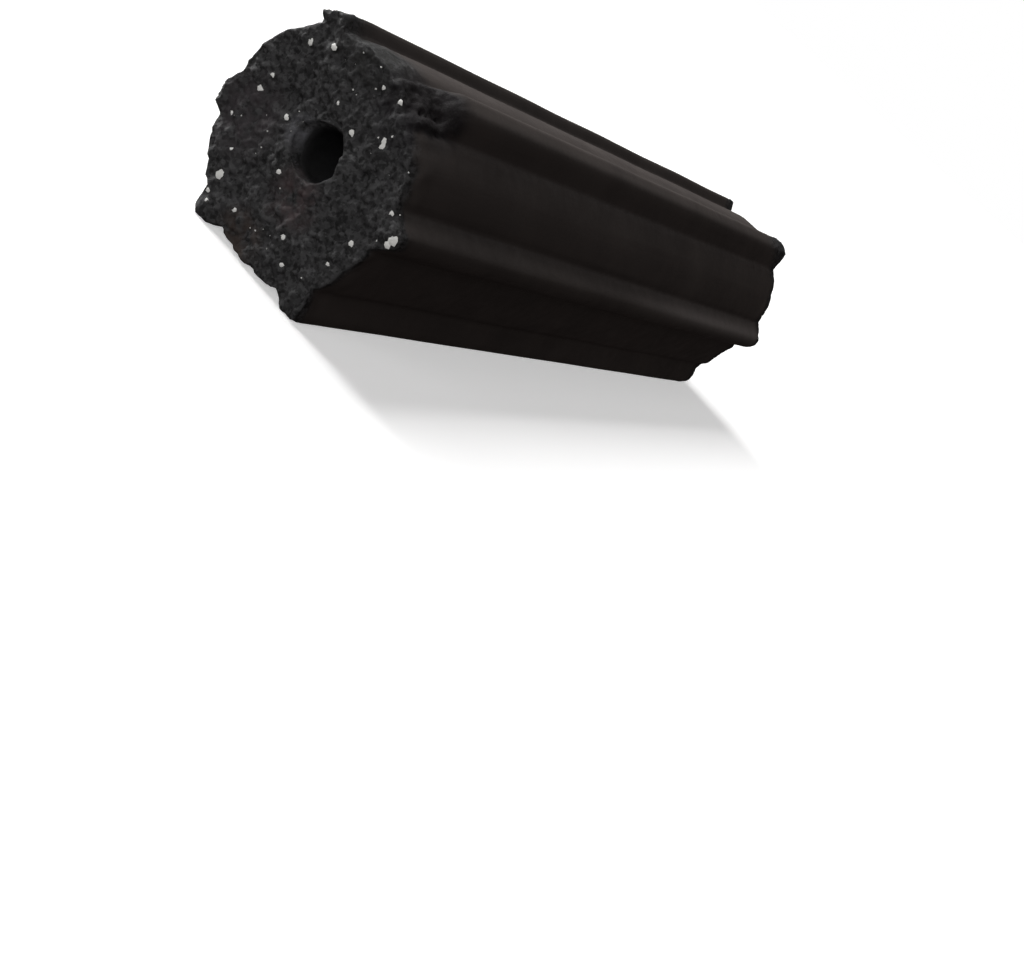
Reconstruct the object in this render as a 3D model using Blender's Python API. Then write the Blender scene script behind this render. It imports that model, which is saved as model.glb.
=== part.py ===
"""Sawdust charcoal briquette: a pressed, baked hexagonal bar with six ribs and a through bore.

Metres, +Z up. The bar lies along X on two of its ribs. A direction round the bar is an angle
in degrees from +Z towards -Y, seen from the end at -X.
"""

from math import atan2, ceil, cos, degrees, exp, hypot, pi, radians, sin, sqrt

import bmesh
import bpy
from mathutils import Vector, geometry, noise

# Driving dimensions
LENGTH = 0.1860
BODY_RADIUS = 0.0205
BODY_SHIFT = 0.0013
BODY_SHIFT_ANGLE = 264.7
AXIS_HEIGHT = 0.02095

# Each rib: its direction, the radius that its crest reaches, its half width and
# how square its section is
RIBS = {
    "top_back": (324.9, 0.0241, 0.0026, 20.0),
    "back": (262.0, 0.0234, 0.0029, 3.0),
    "foot_back": (208.6, 0.0242, 0.0029, 3.0),
    "foot_front": (144.4, 0.0261, 0.0030, 3.0),
    "front": (89.2, 0.0226, 0.0032, 2.6),
    "top_front": (21.3, 0.0235, 0.0040, 3.1),
}

# How far round a rib turns from the near end to the far end, in degrees
RIB_DRIFT = {"front": 5.0}

# A narrow groove along each foot of a rib
GROOVE_DEPTH = 0.0004
GROOVE_OFFSET = 0.0018
GROOVE_WIDTH = 0.0008

# The body is fuller under the front foot rib
SWELL_RIB = "foot_front"
SWELL_HEIGHT = 0.0023
SWELL_WIDTH = 0.0093

# The through bore, which the press spindle leaves
BORE_RADIUS = 0.0044
BORE_CENTRE_Y = -0.0003
BORE_CENTRE_Z = 0.0013
BORE_FLARE = 0.0003
BORE_FLARE_DEPTH = 0.0015
BORE_SIDES = 20
BORE_STATIONS = 9
BORE_MOUTH_STEPS = (0.0, 0.0008, 0.0016, 0.0026, 0.0042)

# Where the bore's mouths are broken wider: direction, width, span in degrees
BORE_CHIPS = (
    (275.0, 0.0015, 50.0),
    (8.0, 0.0006, 25.0),
)

# The corner broken off the top front rib at the near end, at -X
CHIP_RIB = "top_front"
CHIP_ANGLE = 22.0
CHIP_LENGTH = 0.0105
CHIP_FADE = 0.0035
CHIP_SPAN = 0.0044
CHIP_DEPTH = 0.0003
CHIP_ROUGHNESS = 0.0007

# The worn rim: how far it is rounded in, and over what length
RIM_WEAR = 0.0003
RIM_WEAR_LENGTH = 0.0022
RIM_WEAR_FRONT = 0.0015
RIM_WEAR_FRONT_ANGLE = 30.0
RIM_WEAR_FRONT_SPAN = 42.0
RIM_ROUGHNESS = 0.0004
RIM_ROUGH_LENGTH = 0.0060

# Rough broken ends: heights are along the bar, outwards
NEAR_TILT = 0.0006
NEAR_TILT_ANGLE = 100.0
NEAR_ROUGHNESS = 0.0008
FAR_TILT = 0.0034
FAR_TILT_ANGLE = 330.0
FAR_ROUGHNESS = 0.0015
GRAIN_HEIGHT = 0.0005
COARSE_WAVE = 0.0090
MIDDLE_WAVE = 0.0036
MIDDLE_SHARE = 0.6
GRAIN_SIZE = 0.0017
NEAR_LAYER = 10.0
FAR_LAYER = 50.0
LAYER_STEP = 7.3

# Lumps and bites on an end: direction, radius, height, width
NEAR_LUMPS = (
    (208.0, 0.0225, 0.0013, 0.0032),
    (265.0, 0.0222, 0.0006, 0.0028),
    (86.7, 0.0205, 0.0009, 0.0028),
    (300.0, 0.0120, -0.0009, 0.0040),
)
FAR_LUMPS = (
    (325.0, 0.0225, 0.0032, 0.0038),
    (22.0, 0.0225, 0.0026, 0.0030),
    (108.0, 0.0195, 0.0008, 0.0060),
    (60.0, 0.0100, -0.0014, 0.0050),
)

# Lumps and bites of the side at the near rim: direction, height, span in degrees
SIDE_LUMPS = (
    (205.0, 0.0006, 3.5),
    (300.0, 0.0009, 18.0),
    (316.5, 0.0012, 4.5),
    (321.0, -0.0008, 2.2),
)
SIDE_LUMP_LENGTH = 0.0035

# How fine the solid is
ANGLE_STEP = 0.25
PROFILE_POINTS = 124
RIB_POINT_BIAS = 2.6
RIB_POINT_REACH = 0.0045
FACE_SPACING = 0.0016
FACE_JITTER = 0.28
RIM_MARGIN = 0.0010
END_STEPS = (0.0, 0.0007, 0.0017, 0.0030, 0.0046, 0.0066, 0.0090, 0.0120, 0.0165)
MIDDLE_STATIONS = 8

CHARCOAL_COLOUR = (0.012, 0.0105, 0.0095, 1.0)
CHARCOAL_ROUGHNESS = 0.72


def smoothstep(low, high, value):
    """Rises smoothly from 0 at low to 1 at high."""
    share = min(1.0, max(0.0, (value - low) / (high - low)))
    return share * share * (3.0 - 2.0 * share)


def turn_between(angle, centre):
    """The signed turn in degrees from centre to angle, at most half a turn."""
    return (angle - centre + 180.0) % 360.0 - 180.0


def around(angle, radius):
    """The Y and Z of a point at this direction and radius from the bar's axis."""
    return -radius * sin(radians(angle)), radius * cos(radians(angle))


def bump(distance, width, power=2.0):
    """1 at no distance, falling smoothly to 0 past the width."""
    return exp(-((abs(distance) / width) ** power))


def rough(y, z, wave, layer):
    """Smooth noise, about -1 to 1, over the plane of an end face."""
    return noise.noise(Vector((y / wave, z / wave, layer)))


def rib_offset(angle, name, depth=LENGTH / 2):
    """The distance round the bar from a rib's crest line, at a depth behind the near rim."""
    direction, crest, _, _ = RIBS[name]
    direction += RIB_DRIFT.get(name, 0.0) * (depth / LENGTH - 0.5)
    return radians(turn_between(angle, direction)) * crest


def body_radius(angle):
    """The round body between the ribs, pressed a little off the axis."""
    radius = BODY_RADIUS + BODY_SHIFT * cos(radians(angle - BODY_SHIFT_ANGLE))
    return radius + SWELL_HEIGHT * bump(rib_offset(angle, SWELL_RIB), SWELL_WIDTH)


def chip_share(angle, depth):
    """How much of the broken corner's gap a point on the side lies in, 0 to 1."""
    gone = 1.0 - smoothstep(CHIP_LENGTH - CHIP_FADE, CHIP_LENGTH + CHIP_FADE, depth)
    return gone * bump(radians(turn_between(angle, CHIP_ANGLE)) * BODY_RADIUS, CHIP_SPAN, 4.0)


def profile_radius(angle, depth):
    """The outline's radius, at a depth behind the near rim."""
    chip = chip_share(angle, depth)
    radius = body_radius(angle) - CHIP_DEPTH * chip
    for name, (direction, crest, half_width, squareness) in RIBS.items():
        offset = abs(rib_offset(angle, name, depth))
        rise = (crest - body_radius(direction)) * bump(offset, half_width, squareness)
        if name == CHIP_RIB:
            rise *= 1.0 - chip
        radius += rise - GROOVE_DEPTH * bump(offset - half_width - GROOVE_OFFSET, GROOVE_WIDTH)
    return radius


def rim_wear(angle, near_depth, far_depth):
    """How far the rims are rounded in, more over the top and front of the near end."""
    front = RIM_WEAR_FRONT * bump(turn_between(angle, RIM_WEAR_FRONT_ANGLE), RIM_WEAR_FRONT_SPAN)
    near = (RIM_WEAR + front) * exp(-near_depth / RIM_WEAR_LENGTH)
    return near + RIM_WEAR * exp(-far_depth / RIM_WEAR_LENGTH)


def worn_radius(angle, near_depth, far_depth):
    """The outline's radius with the rims and the broken corner crumbled."""
    radius = profile_radius(angle, near_depth)
    y, z = around(angle, radius)
    roughness = RIM_ROUGHNESS * bump(min(near_depth, far_depth), RIM_ROUGH_LENGTH)
    roughness += CHIP_ROUGHNESS * chip_share(angle, near_depth)
    crumble = noise.noise(Vector((near_depth, y, z)) / MIDDLE_WAVE)
    for direction, height, span in SIDE_LUMPS:
        radius += height * bump(turn_between(angle, direction), span) * bump(near_depth, SIDE_LUMP_LENGTH)
    return radius - rim_wear(angle, near_depth, far_depth) + roughness * crumble


def end_height(y, z, tilt, tilt_angle, roughness, lumps, layer):
    """How far an end face stands out along the bar at a point of its plane."""
    angle = degrees(atan2(-y, z))
    height = tilt * hypot(y, z) / BODY_RADIUS * cos(radians(angle - tilt_angle))
    height += roughness * rough(y, z, COARSE_WAVE, layer)
    height += MIDDLE_SHARE * roughness * rough(y, z, MIDDLE_WAVE, layer + LAYER_STEP)
    height += GRAIN_HEIGHT * rough(y, z, GRAIN_SIZE, layer + 2 * LAYER_STEP)
    for direction, place, rise, width in lumps:
        lump_y, lump_z = around(direction, place)
        height += rise * bump(hypot(y - lump_y, z - lump_z), width)
    return height


def near_x(y, z):
    """X of the near end face."""
    shape = (NEAR_TILT, NEAR_TILT_ANGLE, NEAR_ROUGHNESS, NEAR_LUMPS, NEAR_LAYER)
    return -LENGTH / 2 - end_height(y, z, *shape)


def far_x(y, z):
    """X of the far end face."""
    shape = (FAR_TILT, FAR_TILT_ANGLE, FAR_ROUGHNESS, FAR_LUMPS, FAR_LAYER)
    return LENGTH / 2 + end_height(y, z, *shape)


def between_ends(y, z, share):
    """A point on a line along the bar, at this share of the way from the near end face."""
    start = near_x(y, z)
    return start + (far_x(y, z) - start) * share, y, z


def profile_angles():
    """Directions of the outline's points, even along its length but closer on the ribs."""
    fine = [index * ANGLE_STEP for index in range(round(360 / ANGLE_STEP))]
    weights = []
    for angle in fine:
        near_rib = sum(bump(rib_offset(angle, name), RIB_POINT_REACH) for name in RIBS)
        rise = profile_radius(angle + 0.5, LENGTH / 2) - profile_radius(angle - 0.5, LENGTH / 2)
        slope = rise / radians(1.0) / BODY_RADIUS
        weights.append(hypot(1.0, slope) + RIB_POINT_BIAS * near_rib)
    share = sum(weights) / PROFILE_POINTS
    angles = []
    reached = 0.0
    for angle, weight in zip(fine, weights):
        if reached >= share * len(angles):
            angles.append(angle)
        reached += weight
    return angles[:PROFILE_POINTS]


def side_depths():
    """Distances of the side's stations from the near rim, closer together near both rims."""
    last = END_STEPS[-1]
    step = (LENGTH - 2 * last) / (MIDDLE_STATIONS + 1)
    middle = [last + step * (index + 1) for index in range(MIDDLE_STATIONS)]
    far = [LENGTH - depth for depth in reversed(END_STEPS)]
    return list(END_STEPS) + middle + far


def on_floor(y, z):
    """Flattens what would sink below the floor that the bar lies on."""
    return y, max(z, -AXIS_HEIGHT)


def add_side(bm, angles):
    """Adds the ribbed side and returns its rings of vertices, near end first."""
    rings = []
    for depth in side_depths():
        ring = []
        for angle in angles:
            y, z = on_floor(*around(angle, worn_radius(angle, depth, LENGTH - depth)))
            ring.append(bm.verts.new(between_ends(y, z, depth / LENGTH)))
        rings.append(ring)
    join_rings(bm, rings)
    return rings


def bore_radius(angle, depth):
    """The bore's radius at a depth behind the nearer mouth, which is broken a little wider."""
    flare = BORE_FLARE
    for direction, width, span in BORE_CHIPS:
        flare += width * bump(turn_between(angle, direction), span)
    return BORE_RADIUS + flare * bump(depth, BORE_FLARE_DEPTH)


def add_bore(bm):
    """Adds the bore's wall and returns its rings of vertices, near end first."""
    angles = [360.0 * index / BORE_SIDES for index in range(BORE_SIDES)]
    middle = [LENGTH * (index + 1) / (BORE_STATIONS + 1) for index in range(BORE_STATIONS)]
    far = [LENGTH - depth for depth in reversed(BORE_MOUTH_STEPS)]
    depths = list(BORE_MOUTH_STEPS) + middle + far
    rings = []
    for depth in depths:
        ring = []
        for angle in angles:
            y, z = around(angle, bore_radius(angle, min(depth, LENGTH - depth)))
            place = between_ends(y + BORE_CENTRE_Y, z + BORE_CENTRE_Z, depth / LENGTH)
            ring.append(bm.verts.new(place))
        rings.append(ring)
    join_rings(bm, rings)
    return rings


def join_rings(bm, rings):
    """Joins each ring of vertices to the next one with quads."""
    for ring, following in zip(rings, rings[1:]):
        count = len(ring)
        for index in range(count):
            after = (index + 1) % count
            bm.faces.new((ring[index], ring[after], following[after], following[index]))


def inside(point, loop):
    """Whether a point lies inside a closed loop, by counting crossings."""
    crossings = 0
    for index, start in enumerate(loop):
        stop = loop[(index + 1) % len(loop)]
        if (start.y > point.y) != (stop.y > point.y):
            share = (point.y - start.y) / (stop.y - start.y)
            if start.x + (stop.x - start.x) * share > point.x:
                crossings += 1
    return crossings % 2 == 1


def distance_to_loop(point, loop):
    """The shortest distance from a point to a closed loop's sides."""
    best = 1.0
    for index, start in enumerate(loop):
        stop = loop[(index + 1) % len(loop)]
        nearest, share = geometry.intersect_point_line(point, start, stop)
        share = min(1.0, max(0.0, share))
        best = min(best, (point - start.lerp(stop, share)).length)
    return best


def scattered_points(outline, mouth):
    """Jittered points in even rows between the outline and the bore's mouth."""
    points = []
    row_step = FACE_SPACING * sqrt(3.0) / 2
    reach = max(rib[1] for rib in RIBS.values()) + FACE_SPACING
    rows = ceil(reach / row_step)
    columns = ceil(reach / FACE_SPACING)
    for row in range(-rows, rows + 1):
        for column in range(-columns, columns + 1):
            shift = 0.5 * FACE_SPACING * (row % 2)
            seed = Vector((row * 0.73, column * 0.61, 0.0))
            jitter = noise.noise_vector(seed) * FACE_SPACING * FACE_JITTER
            point = Vector((column * FACE_SPACING + shift + jitter.x, row * row_step + jitter.y))
            if not inside(point, outline) or inside(point, mouth):
                continue
            if min(distance_to_loop(point, outline), distance_to_loop(point, mouth)) > RIM_MARGIN:
                points.append(point)
    return points


def add_end(bm, outer, inner, height_at):
    """Fills an end between the side's ring and the bore's ring with a rough face."""
    outline = [Vector((vert.co.y, vert.co.z)) for vert in outer]
    mouth = [Vector((vert.co.y, vert.co.z)) for vert in inner]
    scattered = scattered_points(outline, mouth)
    verts = list(outer) + list(inner)
    verts += [bm.verts.new((height_at(point.x, point.y), point.x, point.y)) for point in scattered]
    flat = outline + mouth + scattered
    first = len(outline)
    edges = [(index, (index + 1) % first) for index in range(first)]
    edges += [(first + index, first + (index + 1) % len(mouth)) for index in range(len(mouth))]
    places, _, triangles, origins, _, _ = geometry.delaunay_2d_cdt(flat, edges, [], 0, 1e-7)
    for triangle in triangles:
        middle = sum((places[corner] for corner in triangle), Vector((0.0, 0.0))) / 3
        if inside(middle, outline) and not inside(middle, mouth):
            bm.faces.new([verts[origins[corner][0]] for corner in triangle])


def charcoal_material():
    """Matte brown-black baked charcoal."""
    material = bpy.data.materials.new("charcoal")
    material.use_nodes = True
    shader = material.node_tree.nodes["Principled BSDF"]
    shader.inputs["Base Color"].default_value = CHARCOAL_COLOUR
    shader.inputs["Roughness"].default_value = CHARCOAL_ROUGHNESS
    shader.inputs["Metallic"].default_value = 0.0
    return material


def centre_over_origin(bm):
    """Stands the bar on the floor with the middle of its box over the origin."""
    low_x = min(vert.co.x for vert in bm.verts)
    high_x = max(vert.co.x for vert in bm.verts)
    low_y = min(vert.co.y for vert in bm.verts)
    high_y = max(vert.co.y for vert in bm.verts)
    shift = Vector((-(low_x + high_x) / 2, -(low_y + high_y) / 2, AXIS_HEIGHT))
    bmesh.ops.translate(bm, verts=bm.verts, vec=shift)


def make_briquette():
    """Builds the one pressed piece."""
    bm = bmesh.new()
    side = add_side(bm, profile_angles())
    bore = add_bore(bm)
    add_end(bm, side[0], bore[0], near_x)
    add_end(bm, side[-1], bore[-1], far_x)
    bmesh.ops.triangulate(bm, faces=bm.faces)
    bmesh.ops.recalc_face_normals(bm, faces=bm.faces)
    centre_over_origin(bm)
    mesh = bpy.data.meshes.new("briquette")
    bm.to_mesh(mesh)
    bm.free()
    mesh.shade_smooth()
    mesh.set_sharp_from_angle(angle=pi / 6)
    briquette = bpy.data.objects.new("briquette", mesh)
    briquette.data.materials.append(charcoal_material())
    bpy.context.scene.collection.objects.link(briquette)


for old in list(bpy.data.objects):
    bpy.data.objects.remove(old)
make_briquette()
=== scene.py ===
from math import atan2, cos, degrees, exp, hypot, pi, radians, sin, sqrt

import bpy
import numpy as np
from mathutils import Matrix, Vector, geometry, noise


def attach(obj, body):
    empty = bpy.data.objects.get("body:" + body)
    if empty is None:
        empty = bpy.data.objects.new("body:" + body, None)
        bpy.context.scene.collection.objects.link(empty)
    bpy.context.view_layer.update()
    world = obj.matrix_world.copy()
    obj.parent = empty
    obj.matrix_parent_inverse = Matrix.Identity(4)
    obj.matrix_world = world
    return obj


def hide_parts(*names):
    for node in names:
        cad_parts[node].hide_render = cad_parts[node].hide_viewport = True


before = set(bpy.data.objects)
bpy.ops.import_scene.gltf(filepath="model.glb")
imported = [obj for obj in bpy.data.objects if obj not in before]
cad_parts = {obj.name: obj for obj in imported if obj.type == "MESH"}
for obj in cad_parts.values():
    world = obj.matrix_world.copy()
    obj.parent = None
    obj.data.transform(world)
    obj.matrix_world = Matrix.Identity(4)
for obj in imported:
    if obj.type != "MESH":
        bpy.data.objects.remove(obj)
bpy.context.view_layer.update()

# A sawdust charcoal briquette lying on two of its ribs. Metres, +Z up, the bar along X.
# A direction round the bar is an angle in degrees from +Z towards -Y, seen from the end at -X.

# The bar's form, as in the solid
LENGTH = 0.1860
BODY_RADIUS = 0.0205
BODY_SHIFT = 0.0013
BODY_SHIFT_ANGLE = 264.7
AXIS = (-0.00277, -0.00028, 0.02095)

# Each rib: its direction, the radius that its crest reaches, its half width and
# how square its section is
RIBS = {
    "top_back": (324.9, 0.0241, 0.0026, 20.0),
    "back": (262.0, 0.0234, 0.0029, 3.0),
    "foot_back": (208.6, 0.0242, 0.0029, 3.0),
    "foot_front": (144.4, 0.0261, 0.0030, 3.0),
    "front": (89.2, 0.0226, 0.0032, 2.6),
    "top_front": (21.3, 0.0235, 0.0040, 3.1),
}
# How far round a rib turns from the near end to the far end, in degrees
RIB_DRIFT = {"front": 5.0}

# The grooves beside the ribs, and the panels' swell round one of them
GROOVE_DEPTH = 0.0004
GROOVE_OFFSET = 0.0018
GROOVE_WIDTH = 0.0008
SWELL_RIB = "foot_front"
SWELL_HEIGHT = 0.0023
SWELL_WIDTH = 0.0093

# The bore along the bar, which opens a little at its mouths
BORE_RADIUS = 0.0044
BORE_CENTRE_Y = -0.0003
BORE_CENTRE_Z = 0.0013
BORE_FLARE = 0.0003
BORE_FLARE_DEPTH = 0.0015

# Where the bore's mouths are broken wider: direction, width, span in degrees
BORE_CHIPS = (
    (275.0, 0.0015, 50.0),
    (8.0, 0.0006, 25.0),
)

# The corner that is broken off at the near end
CHIP_RIB = "top_front"
CHIP_ANGLE = 22.0
CHIP_LENGTH = 0.0105
CHIP_FADE = 0.0035
CHIP_SPAN = 0.0044
CHIP_DEPTH = 0.0003
CHIP_ROUGHNESS = 0.0007

# How the rims are rounded and crumbled
RIM_WEAR = 0.0003
RIM_WEAR_LENGTH = 0.0022
RIM_WEAR_FRONT = 0.0015
RIM_WEAR_FRONT_ANGLE = 30.0
RIM_WEAR_FRONT_SPAN = 42.0
RIM_ROUGHNESS = 0.0004
RIM_ROUGH_LENGTH = 0.0060

# The rough ends
NEAR_TILT = 0.0006
NEAR_TILT_ANGLE = 100.0
NEAR_ROUGHNESS = 0.0008
FAR_TILT = 0.0034
FAR_TILT_ANGLE = 330.0
FAR_ROUGHNESS = 0.0015
GRAIN_HEIGHT = 0.0005
COARSE_WAVE = 0.0090
MIDDLE_WAVE = 0.0036
MIDDLE_SHARE = 0.6
GRAIN_SIZE = 0.0017
NEAR_LAYER = 10.0
FAR_LAYER = 50.0
LAYER_STEP = 7.3

# Lumps and bites on an end: direction, radius, height, width
NEAR_LUMPS = (
    (208.0, 0.0225, 0.0013, 0.0032),
    (265.0, 0.0222, 0.0006, 0.0028),
    (86.7, 0.0205, 0.0009, 0.0028),
    (300.0, 0.0120, -0.0009, 0.0040),
)
FAR_LUMPS = (
    (325.0, 0.0225, 0.0032, 0.0038),
    (22.0, 0.0225, 0.0026, 0.0030),
    (108.0, 0.0195, 0.0008, 0.0060),
    (60.0, 0.0100, -0.0014, 0.0050),
)

# Lumps and bites of the side at the near rim: direction, height, span in degrees
SIDE_LUMPS = (
    (205.0, 0.0006, 3.5),
    (300.0, 0.0009, 18.0),
    (316.5, 0.0012, 4.5),
    (321.0, -0.0008, 2.2),
)
SIDE_LUMP_LENGTH = 0.0035

# The broken grain: cell size, random step, dome and crevice depth of each layer
GRAIN_LAYERS = (
    (0.0015, 0.00014, 0.00009, 0.00010),
    (0.0008, 0.00010, 0.00007, 0.00008),
)
CELL_SPREAD = 9.7
CREVICE_WIDTH = 0.16
PIT_SIZE = 0.0013
PIT_SHIFT = (31.0, 17.0, 5.0)
PIT_START = 0.24
PIT_DEPTH = 0.0016
# The share of that relief that the rims and the bore's wall have
RIM_RELIEF = 0.5
BORE_RELIEF = 0.5

# The band of bare char along the rims: its width, how much that varies, over what
# distance, and where the band starts and stops fading, as shares of its width
BREAK_BAND = 0.0012
BREAK_BAND_LEAST = 0.0003
BREAK_BAND_SWING = 1.6
BREAK_BAND_WAVE = 0.0030
BREAK_FADE_START = 0.5
BREAK_FADE_STOP = 1.5
BREAK_FADE_LEAST = 0.0004
FAR_BREAK_BAND = 0.0012

# The ragged edge of the bare char in the broken corner
CHIP_RAGGEDNESS = 0.35
CHIP_FRINGE = 0.15
CHIP_BARE = (0.12, 0.34)

# Where each end's char runs farther along the side: direction, length, width
NEAR_BREAKS = ((352.0, 0.0085, 0.0085),)
FAR_BREAKS = (
    (22.0, 0.0105, 0.0034),
    (325.0, 0.0030, 0.0030),
    (108.0, 0.0012, 0.0060),
)

# Flecks in the near end, painted white as glints: direction, radius and size in millimetres
NEAR_FLECKS = (
    (-47, 19.0, 1.5), (-31, 18.0, 1.2), (-74, 16.7, 1.0), (-85, 16.4, 1.4), (7, 16.7, 1.1),
    (21, 18.1, 1.1), (-14, 9.9, 0.8), (-105, 18.8, 1.0), (-81, 9.2, 1.2), (19, 8.2, 1.4),
    (41, 13.0, 1.5), (38, 13.4, 1.3), (-124, 16.4, 1.2), (-148, 6.5, 1.1), (-138, 18.5, 2.5),
    (-144, 20.6, 1.1), (-149, 21.0, 1.0), (-159, 16.7, 1.2), (159, 13.3, 1.2), (87, 20.9, 2.1),
    (90, 20.6, 1.8), (107, 15.8, 1.3), (154, 17.4, 1.2), (124, 17.2, 1.1), (78, 18.1, 1.0),
)
FLECK_SIDES = 7
FLECK_REACH = (0.65, 1.15)
FLECK_RISE = 0.22
FLECK_SINK = 0.00010
FLECK_TIP_SHIFT = 0.15

# Smaller flecks at random: their number and size in millimetres, the range of sizes, and
# the shares of the face's area between which they lie
SMALL_FLECKS = 34
SMALL_FLECK_SIZE = 0.42
SMALL_FLECK_RANGE = (0.6, 1.3)
SMALL_FLECK_SPREAD = (0.10, 0.90)

# The pressed skin of the sides
SKIN_WAVE = 0.022
SKIN_WAVE_HEIGHT = 0.00012
FLUTE_WAVE = 0.0015
FLUTE_LENGTH = 0.070
FLUTE_HEIGHT = 0.00004

# Where a highlight is painted along a rib's crest, stronger towards the far end: rib, distance
# round the crest, width, and the depths behind the near rim between which it sets in
CREST_HIGHLIGHT_RIB = "front"
CREST_HIGHLIGHT_OFFSET = -0.0023
CREST_HIGHLIGHT_WIDTH = 0.0018
CREST_HIGHLIGHT_START = 0.085
CREST_HIGHLIGHT_FULL = 0.150

# How fine the visible mesh is
PROFILE_POINTS = 280
RIB_POINT_BIAS = 1.4
RIB_POINT_REACH = 0.0045
END_BAND = 0.0120
END_STEP = 0.00036
MIDDLE_STEP = 0.0017
FACE_SPACING = 0.00031
FACE_JITTER = 0.30
RIM_MARGIN = 0.00018
BORE_SIDES = 48
BORE_STEP = 0.0034
BORE_MOUTH_STEPS = (0.0, 0.0004, 0.0009, 0.0015, 0.0023, 0.0033, 0.0046)
# How far in from a rim the end's grain shifts the side's and the bore's points
RIM_SHIFT_LENGTH = 0.00072
NEAR_FACE_SEED = 3
FAR_FACE_SEED = 4
NEAR_FLECK_SEED = 5
FAR_FLECK_SEED = 6

# The camera, seen from the near end's axis point
CAMERA_OFFSET = (-0.20897, -0.13485, 0.06354)
CAMERA_RIGHT = (0.44701, -0.63180, 0.63325)
CAMERA_UP = (0.00819, 0.71078, 0.70337)
CAMERA_LENS = 54.74
SENSOR_WIDTH = 36.0

# Colours
SKIN_DARK = (0.050, 0.0428, 0.0400, 1.0)
SKIN_LIGHT = (0.068, 0.0582, 0.0540, 1.0)
SKIN_DUSTY = (0.080, 0.0705, 0.0640, 1.0)
# The painted highlight along a rib's crest
SKIN_CREST_HIGHLIGHT = (0.145, 0.1300, 0.1250, 1.0)
GRAIN_DARK = (0.024, 0.0238, 0.0246, 1.0)
GRAIN_LIGHT = (0.062, 0.0615, 0.0630, 1.0)
# The painted shade in the char's pits
PIT_SHADE_COLOUR = (0.010, 0.010, 0.010, 1.0)
# The white of the flecks, a painted glint
GLINT_COLOUR = (0.86, 0.86, 0.83, 1.0)

# How often each pattern of the surface repeats in a metre
SKIN_PATCHES = 55.0
SKIN_MOTTLE = 320.0
SKIN_GRAIN = 1500.0
SKIN_STREAKS = (18.0, 700.0, 700.0)
CHAR_CELLS = 1500.0
CHAR_PIT_SHADES = 1100.0
CHAR_GRAIN = 2600.0
STAIN_EDGE = 400.0

# The stretch of each pattern's values over which it sets in
PATCH_RANGE = (0.35, 0.65)
DUST_RANGE = (0.35, 0.8)
MOTTLE_RANGE = (0.3, 0.7)
PIT_SHADE_RANGE = (0.49, 0.38)
STAIN_RANGE = (0.35, 0.6)

# How rough the skin, the char and the flecks are, how strongly the finest relief of
# each shows, and how strongly dust and the painted shade in the char's pits do
SKIN_ROUGHNESS = (0.45, 0.62)
CHAR_ROUGHNESS = 0.7
FLECK_ROUGHNESS = 0.25
SPECULAR_LEVEL = 0.2
RELIEF_STRENGTH = 0.5
RELIEF_HEIGHT = 0.00010
SKIN_GRAIN_SHARE = 0.6
STREAK_SHARE = 0.3
CHAR_GRAIN_SHARE = 3.0
DUST_SHARE = 0.25
PIT_SHADE_DARKNESS = 0.85

# Stains on the broken char, and patches of painted shade and painted light on it: centre, reach
# and colour, and the share of its reach within which each is whole
STAINS_AND_PAINTED_LIGHT = (
    ((-0.0957, -0.0022, 0.0143), 0.0064, (0.060, 0.045, 0.046, 1.0)),
    ((-0.0957, 0.0020, 0.0025), 0.0060, (0.048, 0.037, 0.033, 1.0)),
    ((-0.0957, 0.0150, 0.0180), 0.0085, (0.046, 0.040, 0.043, 1.0)),
    # Painted shade on the char of the broken corner
    ((-0.0885, -0.0080, 0.0400), 0.0130, (0.010, 0.008, 0.011, 1.0)),
    # Painted light on the left wall of the bore's mouth
    ((-0.0943, 0.0048, 0.0225), 0.0036, (0.120, 0.120, 0.132, 1.0)),
    ((-0.0910, 0.0030, 0.0423), 0.0110, (0.025, 0.025, 0.0240, 1.0)),
)
STAIN_CORE = 0.4

# Painted shade round the broken corner, in place of the shadow of the rib that it lost, and
# painted shade inside the bore, past its mouth
CORNER_SHADE_CENTRE = (-0.0890, -0.0082, 0.0404)
CORNER_SHADE_REACH = 0.0092
CORNER_SHADE_CORE = 0.5
CORNER_SHADE_COLOUR = (0.012, 0.0100, 0.0108, 1.0)
# The painted shade on the bore's wall past its mouth
BORE_SHADE_COLOUR = (0.026, 0.0260, 0.0270, 1.0)
BORE_SHADE_RADIUS = 0.0058
BORE_SHADE_CORE = 0.95
BORE_SHADE_START = (0.0942, 0.0934)

# The paper that the bar lies on
PAPER_COLOUR = (0.86, 0.86, 0.86, 1.0)
PAPER_ROUGHNESS = 0.9
PAPER_SPECULAR_LEVEL = 0.1
PAPER_SIZE = 40.0
PAPER_GLOW = 0.45

# The light
DOME_COLOUR = (1.0, 0.82, 0.78, 1.0)
DOME_STRENGTH = 0.040
KEY_DIRECTION = (0.06, 0.978, 0.208)
KEY_STRENGTH = 3.7
KEY_WIDTH = 24.0
TOP_DIRECTION = (0.02, 0.60, 0.80)
TOP_STRENGTH = 2.2
TOP_WIDTH = 24.0
FRONT_DIRECTION = (-0.97, -0.07, 0.20)
FRONT_STRENGTH = 1.75
FRONT_WIDTH = 50.0
FILL_PLACE = (0.20, -0.08, 0.30)
FILL_SIZE = 0.30
FILL_POWER = 0.055


def smoothstep(low, high, value):
    """Rises smoothly from 0 at low to 1 at high."""
    share = min(1.0, max(0.0, (value - low) / (high - low)))
    return share * share * (3.0 - 2.0 * share)


def bump(distance, width, power=2.0):
    """1 at no distance, falling smoothly to 0 past the width."""
    return exp(-((abs(distance) / width) ** power))


def turn_between(angle, centre):
    """The signed turn in degrees from centre to angle, at most half a turn."""
    return (angle - centre + 180.0) % 360.0 - 180.0


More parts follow.
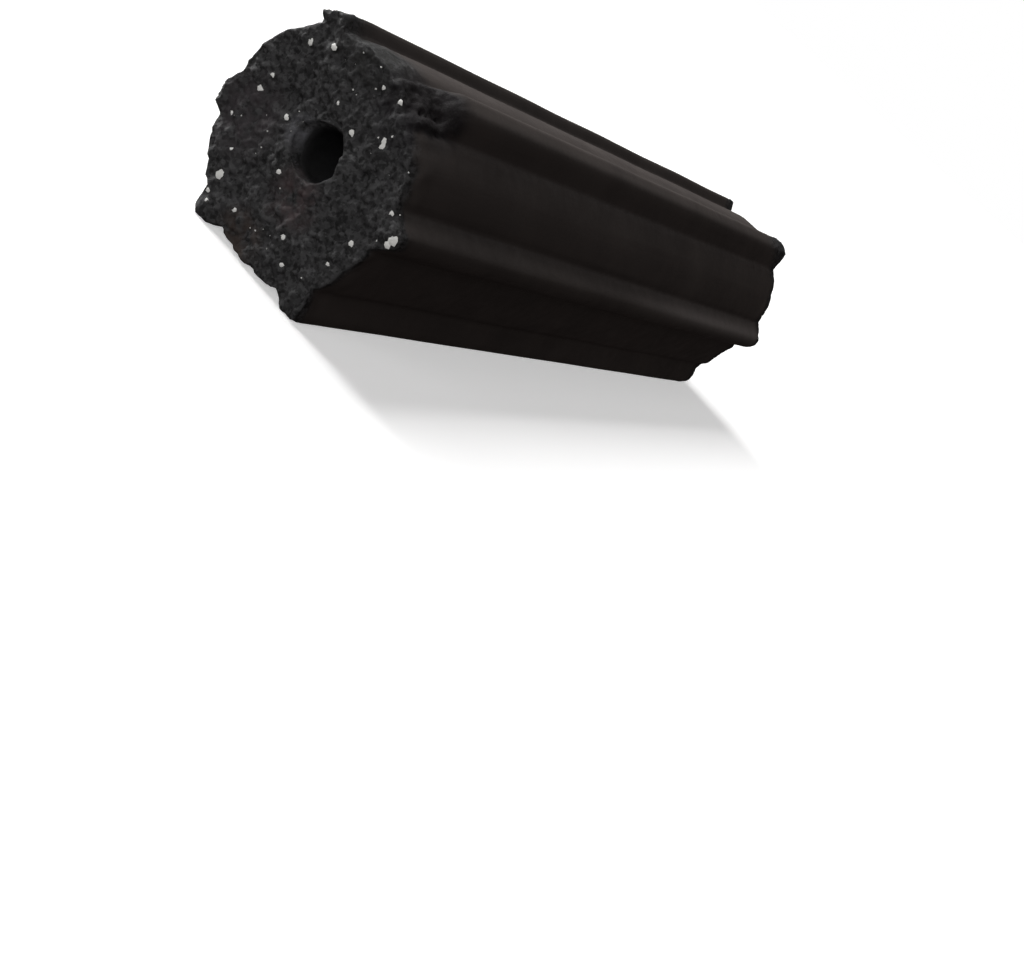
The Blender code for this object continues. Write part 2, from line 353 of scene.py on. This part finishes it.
def around(angle, radius):
    """The Y and Z of a point at this direction and radius from the bar's axis."""
    return -radius * sin(radians(angle)), radius * cos(radians(angle))


def rough(y, z, wave, layer):
    """Smooth noise, about -1 to 1, over the plane of an end face."""
    return noise.noise(Vector((y / wave, z / wave, layer)))


def rib_offset(angle, name, depth=LENGTH / 2):
    """The distance round the bar from a rib's crest line, at a depth behind the near rim."""
    direction, crest, _, _ = RIBS[name]
    direction += RIB_DRIFT.get(name, 0.0) * (depth / LENGTH - 0.5)
    return radians(turn_between(angle, direction)) * crest


def body_radius(angle):
    """The round body between the ribs, pressed a little off the axis."""
    radius = BODY_RADIUS + BODY_SHIFT * cos(radians(angle - BODY_SHIFT_ANGLE))
    return radius + SWELL_HEIGHT * bump(rib_offset(angle, SWELL_RIB), SWELL_WIDTH)


def chip_share(angle, depth):
    """How much of the broken corner's gap a point on the side lies in, 0 to 1."""
    gone = 1.0 - smoothstep(CHIP_LENGTH - CHIP_FADE, CHIP_LENGTH + CHIP_FADE, depth)
    return gone * bump(radians(turn_between(angle, CHIP_ANGLE)) * BODY_RADIUS, CHIP_SPAN, 4.0)


def profile_radius(angle, depth):
    """The outline's radius, at a depth behind the near rim."""
    chip = chip_share(angle, depth)
    radius = body_radius(angle) - CHIP_DEPTH * chip
    for name, (direction, crest, half_width, squareness) in RIBS.items():
        offset = abs(rib_offset(angle, name, depth))
        rise = (crest - body_radius(direction)) * bump(offset, half_width, squareness)
        if name == CHIP_RIB:
            rise *= 1.0 - chip
        radius += rise - GROOVE_DEPTH * bump(offset - half_width - GROOVE_OFFSET, GROOVE_WIDTH)
    return radius


def rim_wear(angle, near_depth, far_depth):
    """How far the rims are rounded in, more over the top and front of the near end."""
    front = RIM_WEAR_FRONT * bump(turn_between(angle, RIM_WEAR_FRONT_ANGLE), RIM_WEAR_FRONT_SPAN)
    near = (RIM_WEAR + front) * exp(-near_depth / RIM_WEAR_LENGTH)
    return near + RIM_WEAR * exp(-far_depth / RIM_WEAR_LENGTH)


def worn_radius(angle, near_depth, far_depth):
    """The outline's radius with the rims and the broken corner crumbled."""
    radius = profile_radius(angle, near_depth)
    y, z = around(angle, radius)
    roughness = RIM_ROUGHNESS * bump(min(near_depth, far_depth), RIM_ROUGH_LENGTH)
    roughness += CHIP_ROUGHNESS * chip_share(angle, near_depth)
    crumble = noise.noise(Vector((near_depth, y, z)) / MIDDLE_WAVE)
    for direction, height, span in SIDE_LUMPS:
        lump = height * bump(turn_between(angle, direction), span)
        radius += lump * bump(near_depth, SIDE_LUMP_LENGTH)
    return radius - rim_wear(angle, near_depth, far_depth) + roughness * crumble


def end_height(y, z, tilt, tilt_angle, roughness, lumps, layer):
    """How far an end face stands out along the bar at a point of its plane."""
    angle = degrees(atan2(-y, z))
    height = tilt * hypot(y, z) / BODY_RADIUS * cos(radians(angle - tilt_angle))
    height += roughness * rough(y, z, COARSE_WAVE, layer)
    height += MIDDLE_SHARE * roughness * rough(y, z, MIDDLE_WAVE, layer + LAYER_STEP)
    height += GRAIN_HEIGHT * rough(y, z, GRAIN_SIZE, layer + 2 * LAYER_STEP)
    for direction, place, rise, width in lumps:
        lump_y, lump_z = around(direction, place)
        height += rise * bump(hypot(y - lump_y, z - lump_z), width)
    return height


def near_x(y, z):
    """X of the near end face, before its fine grain."""
    shape = (NEAR_TILT, NEAR_TILT_ANGLE, NEAR_ROUGHNESS, NEAR_LUMPS, NEAR_LAYER)
    return -LENGTH / 2 - end_height(y, z, *shape)


def far_x(y, z):
    """X of the far end face, before its fine grain."""
    shape = (FAR_TILT, FAR_TILT_ANGLE, FAR_ROUGHNESS, FAR_LUMPS, FAR_LAYER)
    return LENGTH / 2 + end_height(y, z, *shape)


def grain(place):
    """Relief of broken char: stepped grains with crevices between them, and pits."""
    height = 0.0
    for size, step, dome, crevice in GRAIN_LAYERS:
        distances, cells = noise.voronoi(place / size)
        height += step * noise.noise(cells[0] * CELL_SPREAD) * 2.0
        height += dome * (0.5 - distances[0])
        height -= crevice * bump(distances[1] - distances[0], CREVICE_WIDTH)
    pit = noise.noise(place / PIT_SIZE + Vector(PIT_SHIFT))
    return height - PIT_DEPTH * max(0.0, pit - PIT_START)


def brokenness(angle, near_depth, far_depth):
    """How much of a point on the side is broken char and not pressed skin, 0 to 1."""
    depth = min(near_depth, far_depth)
    y, z = around(angle, BODY_RADIUS)
    wave = noise.noise(Vector((near_depth, y, z)) / BREAK_BAND_WAVE)
    band = max(BREAK_BAND_LEAST, BREAK_BAND * (1.0 + BREAK_BAND_SWING * wave))
    breaks = NEAR_BREAKS
    if far_depth < near_depth:
        band += FAR_BREAK_BAND
        breaks = FAR_BREAKS
    for direction, length, width in breaks:
        band += length * bump(radians(turn_between(angle, direction)) * BODY_RADIUS, width)
    fade_stop = band * BREAK_FADE_STOP + BREAK_FADE_LEAST
    rim = 1.0 - smoothstep(band * BREAK_FADE_START, fade_stop, depth)
    share = chip_share(angle, near_depth)
    ragged = noise.noise(Vector((near_depth, y, z)) / GRAIN_SIZE) * CHIP_RAGGEDNESS
    chip = smoothstep(*CHIP_BARE, share + ragged * smoothstep(0.0, CHIP_FRINGE, share))
    return max(rim, chip)


def crest_highlight_share(angle, depth):
    """How much painted highlight a point on the side has, 0 to 1."""
    along = smoothstep(CREST_HIGHLIGHT_START, CREST_HIGHLIGHT_FULL, depth)
    return along * bump(rib_offset(angle, CREST_HIGHLIGHT_RIB, depth) - CREST_HIGHLIGHT_OFFSET, CREST_HIGHLIGHT_WIDTH)


def skin(x, y, z):
    """Shallow unevenness of the pressed skin: long waves, and flutes along the bar."""
    wave = noise.noise(Vector((x / SKIN_WAVE, y / SKIN_WAVE * 2.0, z / SKIN_WAVE * 2.0)))
    flute = noise.noise(Vector((x / FLUTE_LENGTH, y / FLUTE_WAVE, z / FLUTE_WAVE)))
    return SKIN_WAVE_HEIGHT * wave + FLUTE_HEIGHT * flute


def profile_angles():
    """Directions of the outline's points, even along its length but closer on the ribs."""
    fine = [index * 0.1 for index in range(3600)]
    weights = []
    for angle in fine:
        near_rib = sum(bump(rib_offset(angle, name), RIB_POINT_REACH) for name in RIBS)
        rise = profile_radius(angle + 0.5, LENGTH / 2) - profile_radius(angle - 0.5, LENGTH / 2)
        slope = rise / radians(1.0) / BODY_RADIUS
        weights.append(hypot(1.0, slope) + RIB_POINT_BIAS * near_rib)
    share = sum(weights) / PROFILE_POINTS
    angles = []
    reached = 0.0
    for angle, weight in zip(fine, weights):
        if reached >= share * len(angles):
            angles.append(angle)
        reached += weight
    return angles[:PROFILE_POINTS]


def side_depths():
    """Distances of the side's stations from the near rim, closer together near both rims."""
    near = list(np.arange(0.0, END_BAND, END_STEP))
    middle = list(np.arange(END_BAND, LENGTH - END_BAND, MIDDLE_STEP))
    far = [LENGTH - depth for depth in reversed(near)]
    return near + middle + far


class Surface:
    """One mesh's vertices and faces, how broken each vertex is, and how much painted glint and
    painted crest highlight it has.
    """

    def __init__(self):
        self.places = []
        self.broken = []
        self.bright = []
        self.crest_highlight = []
        self.faces = []

    def add(self, x, y, z, broken, bright=0.0, crest_highlight=0.0):
        self.places.append((x, y, z))
        self.broken.append(broken)
        self.bright.append(bright)
        self.crest_highlight.append(crest_highlight)
        return len(self.places) - 1

    def join_rings(self, rings, outwards):
        """Joins each ring to the next with quads, facing out of or into the ring."""
        for ring, following in zip(rings, rings[1:]):
            count = len(ring)
            for index in range(count):
                after = (index + 1) % count
                quad = (ring[index], ring[after], following[after], following[index])
                self.faces.append(quad if outwards else quad[::-1])


def along_bar(y, z, share, grained):
    """X at a share of the way between the ends, with the ends' grain carried to the rim."""
    start = near_x(y, z) - grained * grain(Vector((NEAR_LAYER, y, z)))
    stop = far_x(y, z) + grained * grain(Vector((FAR_LAYER, y, z)))
    return start + (stop - start) * share


def add_side(surface, angles):
    """Adds the ribbed side and returns its rings, near end first."""
    rings = []
    for depth in side_depths():
        far_depth = LENGTH - depth
        rim = bump(min(depth, far_depth), RIM_SHIFT_LENGTH)
        ring = []
        for angle in angles:
            radius = worn_radius(angle, depth, far_depth)
            broken = brokenness(angle, depth, far_depth)
            y, z = around(angle, radius)
            place = Vector((depth, y, z))
            relief = broken * (RIM_RELIEF + (1.0 - RIM_RELIEF) * chip_share(angle, depth))
            radius += skin(depth, y, z) + relief * grain(place)
            y, z = around(angle, radius)
            z = max(z, -AXIS[2])
            x = along_bar(y, z, depth / LENGTH, rim)
            ring.append(surface.add(x, y, z, broken, 0.0, crest_highlight_share(angle, depth)))
        rings.append(ring)
    surface.join_rings(rings, True)
    return rings


def bore_radius(angle, depth):
    """The bore's radius at a depth behind the nearer mouth, which is broken a little wider."""
    flare = BORE_FLARE
    for direction, width, span in BORE_CHIPS:
        flare += width * bump(turn_between(angle, direction), span)
    return BORE_RADIUS + flare * bump(depth, BORE_FLARE_DEPTH)


def add_bore(surface):
    """Adds the bore's wall and returns its rings, near end first."""
    near = list(BORE_MOUTH_STEPS)
    middle = list(np.arange(near[-1] + BORE_STEP / 2, LENGTH - near[-1], BORE_STEP))
    depths = near + middle + [LENGTH - depth for depth in reversed(near)]
    rings = []
    for depth in depths:
        end_depth = min(depth, LENGTH - depth)
        rim = bump(end_depth, RIM_SHIFT_LENGTH)
        ring = []
        for index in range(BORE_SIDES):
            angle = 360.0 * index / BORE_SIDES
            radius = bore_radius(angle, end_depth)
            y, z = around(angle, radius)
            radius -= BORE_RELIEF * grain(Vector((depth, y, z)))
            y, z = around(angle, radius)
            y += BORE_CENTRE_Y
            z += BORE_CENTRE_Z
            x = along_bar(y, z, depth / LENGTH, rim)
            ring.append(surface.add(x, y, z, 1.0))
        rings.append(ring)
    surface.join_rings(rings, False)
    return rings


def loop_radius(loop, centre):
    """A function for a star-shaped loop's radius about a centre, by direction."""
    offsets = loop - centre
    turns = np.arctan2(offsets[:, 1], offsets[:, 0])
    radii = np.hypot(offsets[:, 0], offsets[:, 1])
    order = np.argsort(turns)

    def radius_at(points):
        relative = points - centre
        return np.interp(
            np.arctan2(relative[:, 1], relative[:, 0]), turns[order], radii[order], period=2 * pi
        )

    return radius_at


def between_loops(points, outline, mouth, margin):
    """Which points lie between the outline and the bore's mouth, clear of both."""
    bore_centre = np.array((BORE_CENTRE_Y, BORE_CENTRE_Z))
    outer = loop_radius(outline, np.zeros(2))(points) - np.hypot(points[:, 0], points[:, 1])
    from_bore = points - bore_centre
    inner = np.hypot(from_bore[:, 0], from_bore[:, 1]) - loop_radius(mouth, bore_centre)(points)
    return (outer > margin) & (inner > margin)


def add_end(surface, outer, inner, seed, height_at, outwards):
    """Fills an end between the side's ring and the bore's ring with a broken face."""
    outline = np.array([surface.places[index][1:] for index in outer])
    mouth = np.array([surface.places[index][1:] for index in inner])
    row_step = FACE_SPACING * sqrt(3.0) / 2
    reach = np.abs(outline).max() + FACE_SPACING
    rows = np.arange(-reach, reach, row_step)
    columns = np.arange(-reach, reach, FACE_SPACING)
    grid = [(y + FACE_SPACING / 2 * (row % 2), z) for row, z in enumerate(rows) for y in columns]
    points = np.array(grid)
    points += np.random.default_rng(seed).uniform(-1, 1, points.shape) * FACE_SPACING * FACE_JITTER
    points = points[between_loops(points, outline, mouth, RIM_MARGIN)]
    indices = list(outer) + list(inner)
    indices += [surface.add(height_at(y, z), y, z, 1.0) for y, z in points]
    flat = [Vector(point) for point in np.vstack((outline, mouth, points))]
    first = len(outer)
    edges = [(index, (index + 1) % first) for index in range(first)]
    edges += [(first + index, first + (index + 1) % len(inner)) for index in range(len(inner))]
    places, _, triangles, origins, _, _ = geometry.delaunay_2d_cdt(flat, edges, [], 0, 1e-9)
    corners = np.array([place[:] for place in places])
    triangles = np.array(triangles)
    kept = triangles[between_loops(corners[triangles].mean(axis=1), outline, mouth, 0.0)]
    for triangle in kept:
        face = [indices[origins[corner][0]] for corner in triangle]
        surface.faces.append(face if outwards else face[::-1])


def near_face_x(y, z):
    """X of the near end face with its fine grain."""
    return near_x(y, z) - grain(Vector((NEAR_LAYER, y, z)))


def far_face_x(y, z):
    """X of the far end face with its fine grain."""
    return far_x(y, z) + grain(Vector((FAR_LAYER, y, z)))


def add_fleck(surface, direction, radius, size, height_at, outwards, draw):
    """Sets one flake of glassy char in an end face, painted white as a glint."""
    y, z = around(direction, radius)
    out = 1.0 if outwards else -1.0
    base = height_at(y, z)
    rim = []
    for index in range(FLECK_SIDES):
        angle = 2.0 * pi * index / FLECK_SIDES
        reach = size / 2 * draw.uniform(*FLECK_REACH)
        rim_y, rim_z = y + reach * cos(angle), z + reach * sin(angle)
        rim.append(surface.add(base - out * FLECK_SINK, rim_y, rim_z, 1.0, 1.0))
    tip_y = y + size * draw.uniform(-FLECK_TIP_SHIFT, FLECK_TIP_SHIFT)
    tip_z = z + size * draw.uniform(-FLECK_TIP_SHIFT, FLECK_TIP_SHIFT)
    tip = surface.add(base + out * FLECK_RISE * size, tip_y, tip_z, 1.0, 1.0)
    for index in range(FLECK_SIDES):
        face = (rim[index], rim[(index + 1) % FLECK_SIDES], tip)
        surface.faces.append(face if outwards else face[::-1])


def add_flecks(surface, flecks, seed, height_at, outwards):
    """Scatters small flakes over an end, besides those that are placed one by one."""
    draw = np.random.default_rng(seed)
    for direction, radius, size in flecks:
        add_fleck(surface, direction, radius / 1000, size / 1000, height_at, outwards, draw)
    for _ in range(SMALL_FLECKS):
        direction = draw.uniform(0.0, 360.0)
        radius = sqrt(draw.uniform(*SMALL_FLECK_SPREAD)) * BODY_RADIUS
        size = SMALL_FLECK_SIZE * draw.uniform(*SMALL_FLECK_RANGE) / 1000
        add_fleck(surface, direction, radius, size, height_at, outwards, draw)


def make_briquette():
    """Builds the visible bar over the whole of the solid's form."""
    surface = Surface()
    side = add_side(surface, profile_angles())
    bore = add_bore(surface)
    add_end(surface, side[0], bore[0], NEAR_FACE_SEED, near_face_x, False)
    add_end(surface, side[-1], bore[-1], FAR_FACE_SEED, far_face_x, True)
    add_flecks(surface, NEAR_FLECKS, NEAR_FLECK_SEED, near_face_x, False)
    add_flecks(surface, [], FAR_FLECK_SEED, far_face_x, True)
    mesh = bpy.data.meshes.new("charcoal_bar")
    mesh.from_pydata(surface.places, [], surface.faces)
    mesh.transform(Matrix.Translation(AXIS))
    for name in ("broken", "bright", "crest_highlight"):
        values = mesh.attributes.new(name, "FLOAT", "POINT").data
        values.foreach_set("value", getattr(surface, name))
    mesh.shade_smooth()
    briquette = bpy.data.objects.new("charcoal_bar", mesh)
    bpy.context.scene.collection.objects.link(briquette)
    return briquette


class Nodes:
    """A material's node tree, built up node by node."""

    def __init__(self, name):
        self.material = bpy.data.materials.new(name)
        self.material.use_nodes = True
        self.tree = self.material.node_tree
        self.shader = self.tree.nodes["Principled BSDF"]

    def add(self, kind, settings=None, **inputs):
        """Adds a node, sets its properties and feeds its inputs from sockets or values."""
        made = self.tree.nodes.new(kind)
        for name, value in (settings or {}).items():
            setattr(made, name, value)
        for name, value in inputs.items():
            socket = int(name[1:]) if name[1:].isdigit() else name.replace("_", " ")
            self.feed(made.inputs[socket], value)
        return made

    def feed(self, socket, value):
        if isinstance(value, bpy.types.NodeSocket):
            self.tree.links.new(value, socket)
        else:
            socket.default_value = value

    def noise(self, vector, scale, detail=4.0, roughness=0.55):
        shape = {"Scale": scale, "Detail": detail, "Roughness": roughness}
        return self.add("ShaderNodeTexNoise", Vector=vector, **shape).outputs["Fac"]

    def ramp(self, factor, low, high, low_value=0.0, high_value=1.0):
        """Maps a stretch of a factor onto a range of values, clamped at both ends."""
        made = self.add("ShaderNodeMapRange", {"clamp": True}, Value=factor)
        names = ("From Min", "From Max", "To Min", "To Max")
        for name, value in zip(names, (low, high, low_value, high_value)):
            made.inputs[name].default_value = value
        return made.outputs["Result"]

    def mix_colour(self, factor, first, second):
        made = self.add("ShaderNodeMix", {"data_type": "RGBA"})
        self.feed(made.inputs["Factor"], factor)
        self.feed(made.inputs[6], first)
        self.feed(made.inputs[7], second)
        return made.outputs[2]

    def mix_value(self, factor, first, second):
        made = self.add("ShaderNodeMix", {"data_type": "FLOAT"})
        self.feed(made.inputs["Factor"], factor)
        self.feed(made.inputs[2], first)
        self.feed(made.inputs[3], second)
        return made.outputs[0]

    def distance(self, vector, centre):
        made = self.add("ShaderNodeVectorMath", {"operation": "DISTANCE"}, _0=vector, _1=centre)
        return made.outputs["Value"]

    def math(self, operation, first, second=0.0):
        made = self.add("ShaderNodeMath", {"operation": operation})
        self.feed(made.inputs[0], first)
        self.feed(made.inputs[1], second)
        return made.outputs[0]


def skin_colour(nodes, place, streaks):
    """Brown-black skin, a little blotched and streaked along the bar."""
    patches = nodes.ramp(nodes.noise(place, SKIN_PATCHES, 5.0), *PATCH_RANGE)
    colour = nodes.mix_colour(patches, SKIN_DARK, SKIN_LIGHT)
    dust = nodes.ramp(streaks, *DUST_RANGE, 0.0, DUST_SHARE)
    return nodes.mix_colour(dust, colour, SKIN_DUSTY)


def grain_colour(nodes, place):
    """Grey broken char, grain by grain, with painted shade in its pits, stains, and patches of
    painted shade and painted light.
    """
    cells = nodes.add("ShaderNodeTexVoronoi", {"feature": "F1"}, Vector=place, Scale=CHAR_CELLS)
    cell_value = nodes.add("ShaderNodeSeparateColor", Color=cells.outputs["Color"]).outputs[0]
    colour = nodes.mix_colour(cell_value, GRAIN_DARK, GRAIN_LIGHT)
    # Painted shade in the char's pits, darker where a noise runs low
    pit_shade = nodes.ramp(nodes.noise(place, CHAR_PIT_SHADES, 2.0), *PIT_SHADE_RANGE, 0.0, PIT_SHADE_DARKNESS)
    colour = nodes.mix_colour(pit_shade, colour, PIT_SHADE_COLOUR)
    stain_noise = nodes.ramp(nodes.noise(place, STAIN_EDGE, 3.0), *STAIN_RANGE)
    # Stains, and patches of painted shade and painted light, each mixed in round its centre
    for centre, reach, tint in STAINS_AND_PAINTED_LIGHT:
        near = nodes.ramp(nodes.distance(place, centre), reach, reach * STAIN_CORE)
        colour = nodes.mix_colour(nodes.math("MULTIPLY", near, stain_noise), colour, tint)
    return colour


def paint_shade(nodes, place, colour):
    """Paints shade on the skin and char round the broken corner, and on the bore's wall."""
    # Painted shade round the broken corner
    chip = nodes.ramp(nodes.distance(place, CORNER_SHADE_CENTRE), CORNER_SHADE_REACH, CORNER_SHADE_REACH * CORNER_SHADE_CORE)
    colour = nodes.mix_colour(chip, colour, CORNER_SHADE_COLOUR)
    # Painted shade on the bore's wall past its mouth
    across = nodes.add("ShaderNodeMapping", Vector=place, Scale=(0.0, 1.0, 1.0)).outputs[0]
    centre = (0.0, AXIS[1] + BORE_CENTRE_Y, AXIS[2] + BORE_CENTRE_Z)
    core = BORE_SHADE_RADIUS * BORE_SHADE_CORE
    bore_shade = nodes.ramp(nodes.distance(across, centre), BORE_SHADE_RADIUS, core)
    along = nodes.add("ShaderNodeSeparateXYZ", Vector=place).outputs[0]
    deep = nodes.ramp(nodes.math("ABSOLUTE", along), *BORE_SHADE_START)
    return nodes.mix_colour(nodes.math("MULTIPLY", bore_shade, deep), colour, BORE_SHADE_COLOUR)


def charcoal_material():
    """Pressed skin on the sides with a painted crest highlight, broken grain on the ends and the
    chip with painted shade in its pits and round the chip, and flecks painted white as glints.
    """
    nodes = Nodes("charcoal")
    nodes.shader.inputs["Specular IOR Level"].default_value = SPECULAR_LEVEL
    place = nodes.add("ShaderNodeTexCoord").outputs["Object"]
    stretched = nodes.add("ShaderNodeMapping", Vector=place, Scale=SKIN_STREAKS).outputs[0]
    streaks = nodes.noise(stretched, 1.0, 5.0, 0.6)
    broken = nodes.add("ShaderNodeAttribute", {"attribute_name": "broken"}).outputs["Fac"]
    bright = nodes.add("ShaderNodeAttribute", {"attribute_name": "bright"}).outputs["Fac"]
    crest_highlight = nodes.add("ShaderNodeAttribute", {"attribute_name": "crest_highlight"}).outputs["Fac"]

    # Painted highlight along the front rib's crest
    skin = nodes.mix_colour(crest_highlight, skin_colour(nodes, place, streaks), SKIN_CREST_HIGHLIGHT)
    colour = nodes.mix_colour(broken, skin, grain_colour(nodes, place))
    # Painted shade round the broken corner and in the bore
    colour = paint_shade(nodes, place, colour)
    # The flecks painted white, as glints
    nodes.feed(nodes.shader.inputs["Base Color"], nodes.mix_colour(bright, colour, GLINT_COLOUR))

    mottle = nodes.noise(place, SKIN_MOTTLE, 4.0)
    skin_roughness = nodes.ramp(mottle, *MOTTLE_RANGE, *SKIN_ROUGHNESS)
    roughness = nodes.mix_value(broken, skin_roughness, CHAR_ROUGHNESS)
    roughness = nodes.mix_value(bright, roughness, FLECK_ROUGHNESS)
    nodes.feed(nodes.shader.inputs["Roughness"], roughness)

    skin_grain = nodes.math("MULTIPLY", nodes.noise(place, SKIN_GRAIN, 5.0, 0.6), SKIN_GRAIN_SHARE)
    skin_relief = nodes.math("ADD", skin_grain, nodes.math("MULTIPLY", streaks, STREAK_SHARE))
    char_grain = nodes.noise(place, CHAR_GRAIN, 4.0, 0.65)
    char_relief = nodes.math("MULTIPLY", char_grain, CHAR_GRAIN_SHARE)
    relief = nodes.mix_value(broken, skin_relief, char_relief)
    height = {"Height": relief, "Strength": RELIEF_STRENGTH, "Distance": RELIEF_HEIGHT}
    bumped = nodes.add("ShaderNodeBump", **height)
    nodes.feed(nodes.shader.inputs["Normal"], bumped.outputs["Normal"])
    return nodes.material


def floor_material():
    """Plain white paper."""
    nodes = Nodes("paper")
    nodes.shader.inputs["Base Color"].default_value = PAPER_COLOUR
    nodes.shader.inputs["Roughness"].default_value = PAPER_ROUGHNESS
    nodes.shader.inputs["Specular IOR Level"].default_value = PAPER_SPECULAR_LEVEL
    nodes.shader.inputs["Emission Color"].default_value = (1.0, 1.0, 1.0, 1.0)
    nodes.shader.inputs["Emission Strength"].default_value = PAPER_GLOW
    return nodes.material


def make_floor():
    """Lays the paper under the bar, lit by the lights but not throwing light back on it."""
    bpy.ops.mesh.primitive_plane_add(size=PAPER_SIZE, location=(0.0, 0.0, 0.0))
    floor = bpy.context.object
    floor.name = "floor"
    floor.data.materials.append(floor_material())
    floor.visible_diffuse = False
    floor.visible_glossy = False


def make_world():
    """A dim dome that lights the bar, white where the camera sees past the floor."""
    world = bpy.data.worlds.new("studio")
    bpy.context.scene.world = world
    world.use_nodes = True
    tree = world.node_tree
    background = tree.nodes["Background"]
    rays = tree.nodes.new("ShaderNodeLightPath")
    colour = tree.nodes.new("ShaderNodeMix")
    colour.data_type = "RGBA"
    colour.inputs[6].default_value = [value * DOME_STRENGTH for value in DOME_COLOUR]
    colour.inputs[7].default_value = (1.0, 1.0, 1.0, 1.0)
    background.inputs["Strength"].default_value = 1.0
    tree.links.new(rays.outputs["Is Camera Ray"], colour.inputs["Factor"])
    tree.links.new(colour.outputs[2], background.inputs["Color"])


def make_sun(name, direction, strength, width):
    """A distant light that shines from a direction."""
    sun = bpy.data.lights.new(name, "SUN")
    sun.energy = strength
    sun.angle = radians(width)
    light = bpy.data.objects.new(name, sun)
    light.rotation_mode = "QUATERNION"
    light.rotation_quaternion = Vector(direction).to_track_quat("Z", "Y")
    bpy.context.scene.collection.objects.link(light)


def make_fill_light():
    """A soft disc over the far end that fades along the bar."""
    disc = bpy.data.lights.new("fill", "AREA")
    disc.shape = "DISK"
    disc.size = FILL_SIZE
    disc.energy = FILL_POWER
    light = bpy.data.objects.new("fill", disc)
    light.location = FILL_PLACE
    light.rotation_mode = "QUATERNION"
    light.rotation_quaternion = Vector(FILL_PLACE).to_track_quat("Z", "Y")
    light.visible_camera = False
    bpy.context.scene.collection.objects.link(light)


def make_camera():
    """Looks at the near end from its front corner, turned as the photograph is."""
    camera = bpy.data.cameras.new("camera")
    camera.lens = CAMERA_LENS
    camera.sensor_width = SENSOR_WIDTH
    camera.sensor_fit = "HORIZONTAL"
    camera.clip_end = 100.0
    viewer = bpy.data.objects.new("camera", camera)
    right = Vector(CAMERA_RIGHT)
    up = Vector(CAMERA_UP)
    near_end = Vector(AXIS) - Vector((LENGTH / 2, 0.0, 0.0))
    place = Matrix((right, up, right.cross(up))).transposed().to_4x4()
    place.translation = near_end + Vector(CAMERA_OFFSET)
    viewer.matrix_world = place
    bpy.context.scene.collection.objects.link(viewer)
    bpy.context.scene.camera = viewer


make_camera()
make_world()
make_sun("key", KEY_DIRECTION, KEY_STRENGTH, KEY_WIDTH)
make_sun("top", TOP_DIRECTION, TOP_STRENGTH, TOP_WIDTH)
make_sun("front", FRONT_DIRECTION, FRONT_STRENGTH, FRONT_WIDTH)
make_fill_light()
make_floor()
bar = make_briquette()
bar.data.materials.append(charcoal_material())
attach(bar, "root")
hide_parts("briquette")
bpy.context.scene.view_settings.view_transform = "Standard"
